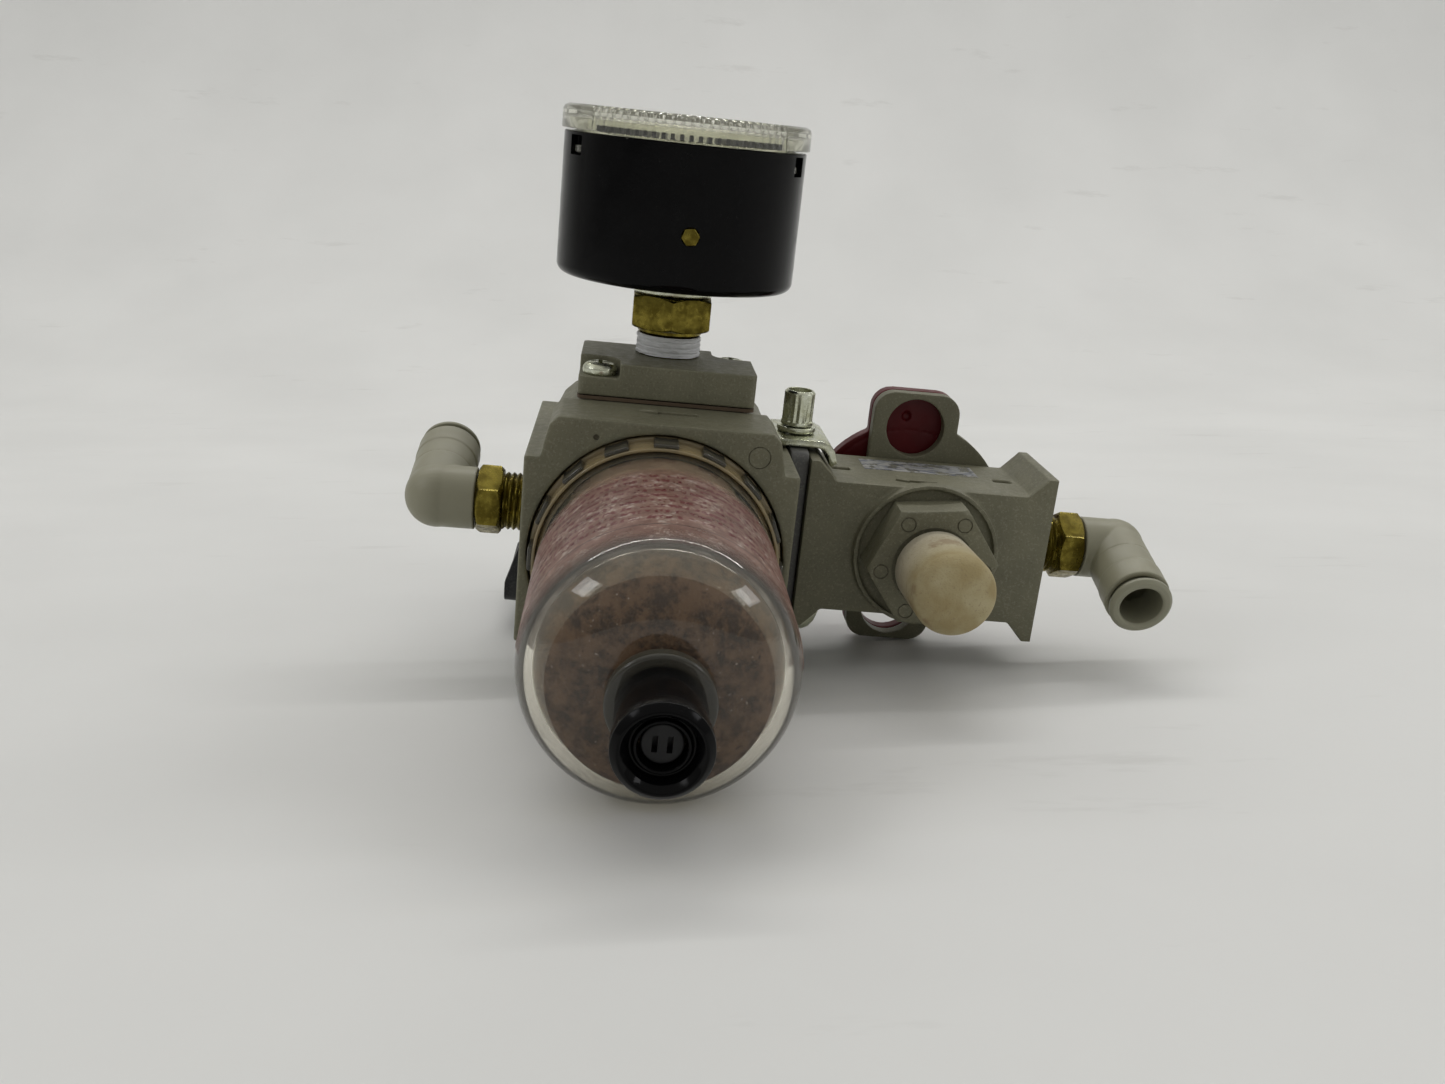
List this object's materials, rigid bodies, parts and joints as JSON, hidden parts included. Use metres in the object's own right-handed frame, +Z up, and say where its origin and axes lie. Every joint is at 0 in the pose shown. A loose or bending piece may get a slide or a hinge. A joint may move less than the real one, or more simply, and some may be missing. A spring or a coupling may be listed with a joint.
{
  "type": "air pressure regulator",
  "caption": "Filter regulator with a round gauge and clear bowl, clamped to a hand-turned shut-off valve, with a push-in elbow at each end of the air line.",
  "frame": {"origin": "centre of the bounding box in x and y, at the underside of the mounting bracket's foot", "axes": "+X along the air line from the outlet elbow to the inlet elbow, +Y from the drain to the adjusting knob, +Z up from the bracket to the gauge"},
  "size_m": [0.1232, 0.1534, 0.0876],
  "materials": {
    "cast_grey": "painted die-cast metal, fine grain",
    "spacer_grey": "painted metal, purplish grey",
    "black_plastic": "gloss black",
    "black_steel": "black painted sheet steel",
    "rubber": "matt black",
    "brass": "tarnished brass",
    "zinc": "yellowish zinc plate",
    "steel": "plain steel",
    "clear_plastic": "clear, stained inside",
    "white_plastic": "white",
    "pointer_black": "matt black",
    "filter_grey": "fibrous",
    "porous_cream": "sintered, porous",
    "red_plastic": "dark red",
    "elbow_grey": "light warm grey",
    "button_grey": "light grey-green"
  },
  "bodies": {
    "regulator": {"regulator_body": "cast_grey", "valve_body": "cast_grey", "valve_cover": "cast_grey", "exhaust_cap": "cast_grey", "gauge_adapter": "cast_grey", "spacer_body": "spacer_grey", "bonnet": "black_plastic", "panel_nut": "black_plastic", "valve_guide": "black_plastic", "gauge_case": "black_plastic", "mounting_bracket": "black_steel", "diaphragm": "rubber", "adapter_gasket": "rubber", "spacer_seal": "rubber", "gauge_stem": "brass", "gauge_case_screw": "brass", "bourdon_tube": "brass", "inlet_stud": "brass", "outlet_stud": "brass", "rear_plug": "zinc", "gauge_washer": "zinc", "clamp_front": "zinc", "clamp_rear": "zinc", "clamp_washer": "zinc", "clamp_screw": "zinc", "clamp_screw_rear": "zinc", "adjusting_spring": "steel", "spring_seat": "steel", "poppet_spring": "steel", "adapter_screw_1": "steel", "adapter_screw_2": "steel", "gauge_movement": "steel", "gauge_lens": "clear_plastic", "deflector": "white_plastic", "baffle": "white_plastic", "gauge_dial": "white_plastic", "thread_tape": "white_plastic", "filter_element": "filter_grey", "silencer": "porous_cream"},
    "screw": {"adjusting_screw": "steel"},
    "knob": {"adjusting_knob": "black_plastic"},
    "nut": {"adjusting_nut": "steel"},
    "poppet": {"poppet": "brass"},
    "pointer": {"gauge_pointer": "pointer_black"},
    "bowl": {"bowl": "clear_plastic", "bowl_seal": "rubber", "drain_collar": "clear_plastic"},
    "drain": {"drain_knob": "black_plastic", "drain_valve": "black_plastic"},
    "valve_knob": {"valve_knob": "red_plastic", "valve_stem": "steel"},
    "spool": {"valve_spool": "brass"},
    "inlet_elbow": {"inlet_elbow": "elbow_grey"},
    "inlet_button": {"inlet_release_button": "button_grey"},
    "outlet_elbow": {"outlet_elbow": "elbow_grey"},
    "outlet_button": {"outlet_release_button": "button_grey"}
  },
  "joints": [
    {"name": "knob_turn", "type": "hinge", "parent": "regulator", "child": "screw", "pos_m": [-0.0214, 0.04965, 0.0253], "axis": [0, -1, 0], "range_deg": [0, 1080]},
    {"name": "knob_pull", "type": "slide", "parent": "screw", "child": "knob", "axis": [0, 1, 0], "range_m": [0, 0.003]},
    {"name": "nut_slide", "type": "slide", "parent": "regulator", "child": "nut", "axis": [0, -1, 0], "range_m": [0, 0.003], "deforming": ["adjusting_spring"]},
    {"name": "poppet_slide", "type": "slide", "parent": "regulator", "child": "poppet", "axis": [0, -1, 0], "range_m": [0, 0.0006], "stiffness_N_per_m": 800, "deforming": ["poppet_spring"]},
    {"name": "pointer_turn", "type": "hinge", "parent": "regulator", "child": "pointer", "pos_m": [-0.0214, 0.01045, 0.0803], "axis": [0, 0, -1], "range_deg": [0, 270], "stiffness_Nm_per_rad": 0.0001},
    {"name": "bowl_turn", "type": "hinge", "parent": "regulator", "child": "bowl", "pos_m": [-0.0214, -0.03035, 0.0253], "axis": [0, 1, 0], "range_deg": [0, 45]},
    {"name": "drain_turn", "type": "hinge", "parent": "bowl", "child": "drain", "pos_m": [-0.0214, -0.07035, 0.0253], "axis": [0, 1, 0], "range_deg": [0, 90]},
    {"name": "valve_turn", "type": "hinge", "parent": "regulator", "child": "valve_knob", "pos_m": [0.0216, 0.02065, 0.0253], "axis": [0, 1, 0], "range_deg": [0, 90]},
    {"name": "spool_slide", "type": "slide", "parent": "regulator", "child": "spool", "axis": [0, -1, 0], "range_m": [0, 0.002]},
    {"name": "inlet_swivel", "type": "hinge", "parent": "regulator", "child": "inlet_elbow", "pos_m": [0.0506, 0.00965, 0.0253], "axis": [1, 0, 0], "range_deg": [-60, 60]},
    {"name": "inlet_button_slide", "type": "slide", "parent": "inlet_elbow", "child": "inlet_button", "axis": [0, 0.9659, 0.2588], "range_m": [0, 0.0008], "stiffness_N_per_m": 300},
    {"name": "outlet_swivel", "type": "hinge", "parent": "regulator", "child": "outlet_elbow", "pos_m": [-0.0514, 0.00965, 0.0253], "axis": [1, 0, 0], "range_deg": [-60, 60]},
    {"name": "outlet_button_slide", "type": "slide", "parent": "outlet_elbow", "child": "outlet_button", "axis": [0, -0.9703, -0.2419], "range_m": [0, 0.0008], "stiffness_N_per_m": 300}
  ],
  "couplings": [
    {"joint": "nut_slide", "follows": "knob_turn", "m_per_rad": 0.00015915},
    {"joint": "spool_slide", "follows": "valve_turn", "m_per_rad": 0.0012732}
  ]
}
